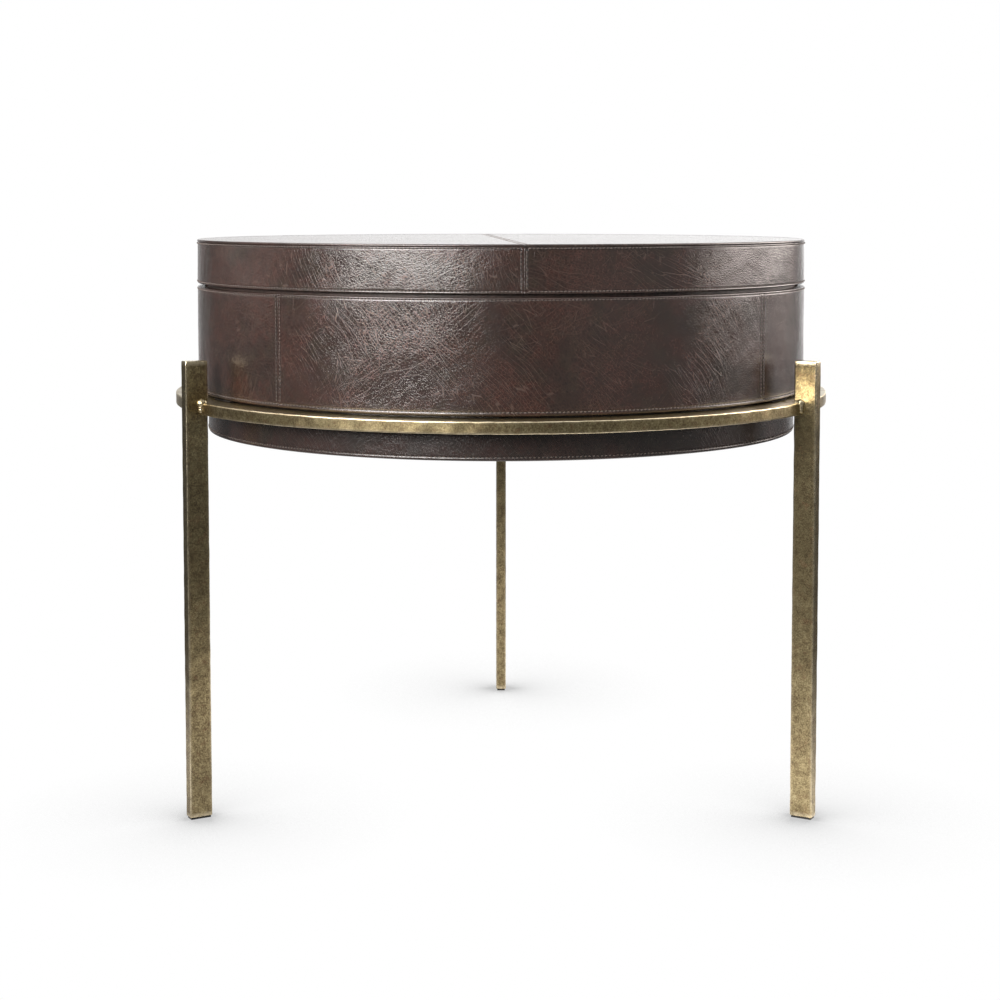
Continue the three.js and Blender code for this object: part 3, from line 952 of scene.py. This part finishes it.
def warped(place, size, reach, seed):
    """Places pushed about by soft noise, up to a reach."""
    push = add("TexNoise", {"Vector": place, "W": seed, "Scale": 1 / size, "Detail": 1.0},
               noise_dimensions="4D").outputs["Color"]
    push = add("VectorMath", {0: push, 1: (0.5, 0.5, 0.5)}, operation="SUBTRACT").outputs[0]
    push = add("VectorMath", {0: push, "Scale": 2 * reach}, operation="SCALE").outputs[0]
    return add("VectorMath", {0: place, 1: push}, operation="ADD").outputs[0]


def cell_edges(place, thin):
    """One on the borders of cells, falling to zero at a distance thin, in cells."""
    cells = add("TexVoronoi", {"Vector": place, "Scale": 1.0}, feature="DISTANCE_TO_EDGE",
                voronoi_dimensions="2D")
    return remap(cells.outputs["Distance"], thin, 0.0)


def creases(place, angle, width, length, thin, patch, seed):
    """Long fine creases that mostly run one way, in patches of the hide."""
    place_here = warped(place, 15 * MM, 1.2 * MM, seed)
    lines = cell_edges(lying(place_here, angle, width, length), thin)
    where = noise(place, patch[0], 2.0, 0.5, seed + 3)
    return product(lines, remap(where, patch[1], patch[2]))


def heaviest(*weighted):
    """The greatest of several values, each times its weight."""
    most = 0.0
    for value, weight in weighted:
        most = maths("MAXIMUM", most, product(value, weight))
    return most


def summed(*weighted):
    """The sum of several values, each times its weight."""
    total = 0.0
    for value, weight in weighted:
        total = maths("MULTIPLY_ADD", value, weight, total)
    return total


def leather(name, dark, red, olive, light_crease_and_glint, roughness, gloss=1.0, pebble=1.5 * MM):
    """A pebbled hide with fine creases that fan and curve, clouded with red and olive."""
    material = new_material(name, Specular_IOR_Level=gloss)
    place = skin_place()
    bent = warped(place, 90 * MM, 18 * MM, 91.0)
    lines = heaviest(*((creases(bent, *shape), weight) for *shape, weight in CREASES))
    net = creases(place, *NET)
    cloud = remap(noise(place, 17 * MM, 3.0, 0.55, 2.0), 0.44, 0.68, 0.0, 0.75)
    shadow = remap(noise(place, 14 * MM, 3.0, 0.6, 5.0), 0.42, 0.66)
    warmth = remap(noise(place, 60 * MM, 1.0, 0.5, 9.0), 0.42, 0.60, 0.0, 0.4)
    mottle = noise(place, 4 * MM, 3.0, 0.6, 3.0)
    grit = noise(lying(place, 35, 1.3 * MM, 2.2 * MM), 1.0, 1.0, 0.5, 4.0)
    colour = mix(shadow, dark, olive)
    colour = mix(cloud, colour, red)
    colour = mix(warmth, colour, times(1.35, red))
    shade = remap(maths("MULTIPLY_ADD", grit, 0.7, mottle), 0.63, 1.07, 0.55, 1.45, smooth=False)
    colour = mix(1.0, colour, shade, "MULTIPLY")
    # Creases are lighter, as pull-up leather is where it folds, and partly a painted glint along them
    colour = mix(heaviest((lines, 0.29), (net, 0.14)), colour, light_crease_and_glint)
    pebbles = lying(warped(place, 4 * MM, 0.9 * MM, 7.0), 35, 0.8 * pebble, pebble)
    grooves = cell_edges(pebbles, 0.4)
    height = summed((grooves, -0.026), (lines, 0.027), (net, -0.032), (mottle, 0.045), (grit, 0.085))
    rough = remap(mottle, 0.3, 0.7, roughness + 0.03, roughness - 0.03, smooth=False)
    return surface(material, colour, height, MM, Roughness=maths("MULTIPLY_ADD", lines, 0.06, rough))


def thread(name, colour):
    material = new_material(name, Roughness=0.62, Sheen_Weight=0.3)
    place = solid_place()
    tone = remap(noise(place, 5 * MM, 3.0, 0.6, 4.0), 0.3, 0.7)
    twist = noise(place, 0.3 * MM, 1.0, 0.5, 6.0)
    return surface(material, mix(tone, times(0.6, colour), colour), twist, 0.05 * MM)


def brass(name, lift=0.0, dull=0.0):
    """Antiqued brass: mottled from dark brown to gold, bright where edges are worn."""
    material = new_material(name, Metallic=1.0)
    place = solid_place()
    broad = noise(place, 40 * MM, 3.0, 0.55, 1.0)
    cloud = noise(place, 6 * MM, 4.0, 0.65, 2.0)
    speck = noise(place, 1.5 * MM, 2.0, 0.6, 3.0)
    tone = summed((cloud, 1.1), (broad, 0.6), (speck, 1.5))
    tone = remap(tone, 1.0, 2.25, lift, 1.0 + lift, smooth=False)
    ramp = add("ValToRGB", {"Fac": tone})
    elements = ramp.color_ramp.elements
    while len(elements) < len(BRASS_STOPS):
        elements.new(0.5)
    for element, (spot, colour) in zip(elements, BRASS_STOPS):
        element.position = spot
        element.color = (*colour, 1.0)
    rust = remap(noise(place, 7 * MM, 3.0, 0.6, 5.0), 0.54, 0.68, 0.0, 0.4)
    colour = mix(rust, ramp.outputs["Color"], (0.20, 0.105, 0.062))
    worn = add("Attribute", attribute_name=WEAR).outputs["Fac"]
    patchy = remap(noise(place, 6 * MM, 4.0, 0.7, 8.0), 0.36, 0.62, 0.4, 1.0)
    colour = mix(product(worn, patchy), colour, (0.90, 0.80, 0.57))
    rough = remap(tone, 0.0, 1.0, 0.26 + dull, 0.18 + dull, smooth=False)
    rough = maths("MULTIPLY_ADD", rust, 0.1, rough)
    return surface(material, colour, summed((speck, 1.0), (cloud, 1.2)), 0.05 * MM, Roughness=rough)


def suede(name, colour):
    material = new_material(name, Roughness=0.95, Sheen_Weight=0.5, Sheen_Roughness=0.4)
    place = skin_place()
    nap = noise(place, 22 * MM, 4.0, 0.6, 1.0)
    fibre = noise(place, 0.8 * MM, 3.0, 0.7, 2.0)
    tone = remap(summed((fibre, 0.5), (nap, 1.2)), 0.5, 1.2)
    return surface(material, mix(tone, times(0.55, colour), colour), fibre, 0.25 * MM, 0.6)


def felt(name, colour):
    material = new_material(name, Roughness=1.0, Specular_IOR_Level=0.2)
    fibre = noise(solid_place(), 1.1 * MM, 4.0, 0.75, 2.0, 0.8)
    colour = mix(remap(fibre, 0.3, 0.7), times(0.5, colour), colour)
    return surface(material, colour, fibre, 0.3 * MM, 0.7)


def plywood(name):
    """Plies in the board's height, with streaks of grain."""
    material = new_material(name, Roughness=0.6)
    place = solid_place()
    plies = add("TexWave", {"Vector": place, "Scale": 1 / (9 * MM), "Distortion": 0.4},
                bands_direction="Z").outputs["Fac"]
    streak = add("Mapping", {"Vector": place, "Scale": (1.0, 1.0, 9.0)}).outputs["Vector"]
    grain = noise(streak, 9 * MM, 5.0, 0.65, 1.0)
    colour = mix(remap(grain, 0.35, 0.65), (0.33, 0.19, 0.09), (0.56, 0.38, 0.2))
    colour = mix(product(plies, 0.35), colour, (0.25, 0.14, 0.07))
    return surface(material, colour, grain, 0.1 * MM, 0.4)


# Dark plastic for the glides, and the painted shade of the needle holes
def dark_plastic_and_hole_shade(name):
    material = new_material(name)
    grain = noise(solid_place(), 0.6 * MM, 2.0, 0.5, 1.0)
    colour = mix(grain, (0.008, 0.008, 0.008), (0.02, 0.02, 0.02))
    rough = remap(grain, 0.3, 0.7, 0.45, 0.65)
    return surface(material, colour, grain, 0.05 * MM, 0.4, Roughness=rough)


# Stage and light. Ranges are from low, from high, to low, to high.
FLOOR_RADIUS = 1.3
# The floor's painted pool of light, met only by light and reflections: bright near the object, brighter to
# its right, dim far off
FLOOR_PAINTED_POOL = (0.35, 0.9, 0.45, 0.07)
FLOOR_PAINTED_SIDE = (-0.15, 0.15, -0.3, 0.6)
PAINTED_SIDE_FADE = (0.34, 0.48, 1.0, 0.0)
# Reach and range of the painted shadow on the floor's glow
PAINTED_SHADOW_REACH = 0.2
PAINTED_SHADOW = (0.75, 1.0, 0.6, 1.0)
BACKDROP = 1.0
REAR_GLOW = (0.90, 0.985, 0.0, 1.45)
REAR_WASH = (0.80, 0.93, 0.0, 0.35)
HORIZON = (-0.25, -0.04)
SKY_GLOW = (0.25, 0.95, 0.0, 1.1)
ROOM_GLOW = 0.11
GLOW_SKEW = 0.05
GLOW_TILT = 0.7

# Light panels: azimuth, lower and upper edge, width, distance, power and tint
WARM = (1, 0.90, 0.85)
BOXES = {
    "box_left": (-35, 0.73, 1.73, 2.0, 2.6, 110, (1, 0.95, 0.92)),
    "box_far_left": (-98, 0.5, 1.5, 1.8, 2.6, 4, WARM),
    "box_high_left": (-65, 1.6, 2.6, 1.8, 2.0, 45, WARM),
    "box_right": (107, 0.60, 1.60, 2.7, 2.6, 70, WARM),
    "box_low_right": (112, 0.20, 0.40, 2.4, 2.6, 1.2, WARM),
    "box_front_right": (48, 0.10, 1.00, 2.4, 2.6, 1.1, (1, 0.97, 0.94)),
    "box_high_right": (90, 1.7, 2.6, 2.4, 2.2, 34, (1, 0.88, 0.80)),
}


def floor():
    """White paper for the eye, with painted shadow close to the feet. For light it's a painted pool of light,
    bright near the object only.
    """
    bpy.ops.mesh.primitive_circle_add(vertices=128, radius=FLOOR_RADIUS, fill_type="NGON")
    ob = bpy.context.object
    ob.name = "floor"
    material = new_material("floor_paper", Roughness=0.9, Specular_IOR_Level=0.0)
    place = solid_place()
    away = add("VectorMath", {0: place}, operation="LENGTH").outputs["Value"]
    side = add("SeparateXYZ", {0: place}).outputs["X"]
    seen = add("LightPath").outputs["Is Camera Ray"]
    # Painted pool of light: the colour that light and reflections meet falls off away from the object and is
    # brighter on its right
    painted_side_light = maths("MULTIPLY_ADD", remap(side, *FLOOR_PAINTED_SIDE), remap(away, *PAINTED_SIDE_FADE), 1.0)
    level = product(product(remap(away, *FLOOR_PAINTED_POOL), painted_side_light), maths("SUBTRACT", 1.0, seen))
    # Painted shadow: the glow the eye sees is dimmed where ambient occlusion finds the feet and drum close by
    open_sky = add("AmbientOcclusion", {"Distance": PAINTED_SHADOW_REACH}, samples=8).outputs["AO"]
    glow_with_painted_shadow = product(seen, remap(open_sky, *PAINTED_SHADOW, smooth=False))
    feed_shader(material, Base_Color=level, Emission_Color=(1, 1, 1, 1), Emission_Strength=glow_with_painted_shadow)
    ob.data.materials.append(material)
    ob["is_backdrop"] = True


def world():
    """A white backdrop for the eye, and a softer room for light and reflections."""
    room = bpy.data.worlds.new("room")
    room.use_nodes = True
    scene.world = room
    trees.append(room.node_tree)
    trees[-1].nodes.clear()
    x, y, z = add("SeparateXYZ", {0: add("TexCoord").outputs["Generated"]}).outputs
    behind = remap(maths("MULTIPLY_ADD", x, GLOW_SKEW, y), *REAR_GLOW)
    behind = maths("MULTIPLY_ADD", behind, product(x, GLOW_TILT), behind)
    behind = maths("MAXIMUM", behind, remap(y, *REAR_WASH))
    light = maths("MULTIPLY_ADD", behind, remap(z, *HORIZON), ROOM_GLOW)
    light = maths("ADD", light, remap(z, *SKY_GLOW))
    soft = add("Background", {"Strength": light, "Color": (1, 1, 1, 1)})
    white = add("Background", {"Strength": BACKDROP, "Color": (1, 1, 1, 1)})
    path = add("LightPath").outputs["Is Camera Ray"]
    joined = add("MixShader", {0: path, 1: soft.outputs[0], 2: white.outputs[0]})
    add("OutputWorld", {"Surface": joined.outputs[0]})


def softbox(name, azimuth, low, high, width, distance, power, tint):
    """An upright light panel. Azimuth 0 is behind the camera, 90 to the object's right."""
    data = bpy.data.lights.new(name, "AREA")
    data.shape = "RECTANGLE"
    data.size, data.size_y = width, high - low
    data.energy = power
    data.color = tint
    ob = bpy.data.objects.new(name, data)
    turn = math.radians(azimuth)
    ob.location = (distance * math.sin(turn), -distance * math.cos(turn), (low + high) / 2)
    ob.rotation_euler = (math.radians(90), 0, turn)
    ob.visible_camera = False
    scene.collection.objects.link(ob)


# Looks of each material: darkest, red and olive parts, creases (lighter, partly a painted glint), roughness
# and gloss
HIDES = {
    "brown": ((0.0145, 0.0078, 0.0063), (0.029, 0.0112, 0.0086), (0.0175, 0.0115, 0.0078),
              (0.15, 0.108, 0.088), 0.20, 1.0),
    "dark": ((0.018, 0.0125, 0.011), (0.027, 0.0140, 0.0120), (0.021, 0.0170, 0.014),
             (0.05, 0.040, 0.034), 0.24, 0.8),
    # The lip's hide is lighter and more matte than the outer hide: painted light that lifts the shade in the
    # groove between lid and body
    "lip": ((0.050, 0.034, 0.029), (0.065, 0.036, 0.030), (0.055, 0.040, 0.032),
            (0.10, 0.080, 0.068), 0.42, 0.5),
}
# Seed of each panel, and the grain's angle to its length
BODY_PANELS = {"front": (1, 0.0), "right": (2, 0.55), "rear": (3, -0.4), "left": (4, 1.2)}
BANDS = {"left": (11, 0.25), "right": (12, -0.5)}
TOPS = {"left": (21, 0.3), "right": (22, -0.8)}
LOWER_SEED = 31
ROW_END = 1.5 * MM
RIM_ROW_END = 1.2 * MM


def coverings(brown, dark):
    for make, panels in ((body_panel, BODY_PANELS), (band_panel, BANDS), (lid_half, TOPS)):
        for which, (seed, grain) in panels.items():
            make(which, seed, grain, brown)
    lower_band(LOWER_SEED, 0.1, dark)


def stitching(materials):
    spans, band_spans = ([(seed, *bearings(start + which)) for which, (seed, _) in panels.items()]
                         for start, panels in (("body_leather_", BODY_PANELS), ("lid_band_", BANDS)))
    seams = [end % TURN for _, _, end in spans]
    lid_seams = [end % TURN for _, _, end in band_spans]
    (_, low), (_, high) = BODY_ROWS
    (_, lid_low), (_, lid_high) = BAND_ROWS
    band = ("lid", RADIUS, BAND_ROWS, band_spans, lid_seams)
    body = ("drum", RADIUS, BODY_ROWS, spans, seams)
    lower = ("drum", LOWER_RADIUS, LOWER_ROWS, [(LOWER_SEED, 0.0, TURN)], [])
    for name, height, pitch, about in (
        ("lid_top", lid_high, PITCH, band), ("lid_hem", lid_low, PITCH, band),
        ("body_rim", high, PITCH, body), ("body_ledge", low, LOOSE_PITCH, body),
        ("lower", LOWER_ROWS[0][1], LOOSE_PITCH, lower),
    ):
        hoop_row("threads_" + name, height, pitch, materials, *about)
    seam_rows("threads_body_seams", "drum", seams, low + ROW_END, high - RIM_ROW_END, materials, 3)
    seam_rows("threads_lid_seams", "lid", lid_seams, lid_low + ROW_END, lid_high - ROW_END, materials, 4)
    lid_top_rows(materials)


def metalwork():
    bars, hoop, weld = brass("brass_antique"), brass("brass_hoop", 0.0, 0.09), brass("brass_weld", 0.05, 0.12)
    ring_bar(hoop)
    for seed, name in enumerate(LEG_NAMES, 41):
        leg_bar(name, seed, bars)
        weld_bead(name, 1, seed + 10, weld)
        weld_bead(name, -1, seed + 20, weld)


def dress():
    brown, dark, lip = (leather(name + "_leather_hide", *look) for name, look in HIDES.items())
    lining = suede("suede", (0.16, 0.105, 0.07))
    cloth = felt("felt_dark", (0.02, 0.017, 0.015))
    coverings(brown, dark)
    stitching((thread("thread", (0.10, 0.073, 0.059)), dark_plastic_and_hole_shade("needle_hole_painted_shade")))
    metalwork()
    # The lip's lighter hide paints light into the shaded groove between lid and body
    lip_leather(lip, 61)
    tube_lining("wall_lining", "drum", lining, 62)
    tube_lining("lid_skirt_lining", "lid", lining, 63)
    disc_lining("floor_lining", "drum", "suede_lining", lining, 64)
    disc_lining("lid_panel_lining", "lid", "suede_lining", lining, 65)
    disc_lining("underside_cover", "drum", "dark_felt", cloth, 66)
    ply = plywood("ply")
    paint = {
        "glide_": dark_plastic_and_hole_shade("glide_black"), "ring_pad_": cloth, "inner_hoop": ply, "body_hoop": ply,
        "bottom_panel": ply, "lid_panel": ply, "lid_hoop": ply,
    }
    for name, ob in frame["nodes"].items():
        for start, material in paint.items():
            if name.startswith(start):
                ob.data.materials.clear()
                ob.data.materials.append(material)


scene.view_settings.view_transform = "Standard"
camera()
world()
for box_name, box in BOXES.items():
    softbox(box_name, *box)
floor()
dress()

[[list(corner) for corner in box] for box in (cad_box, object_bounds())]
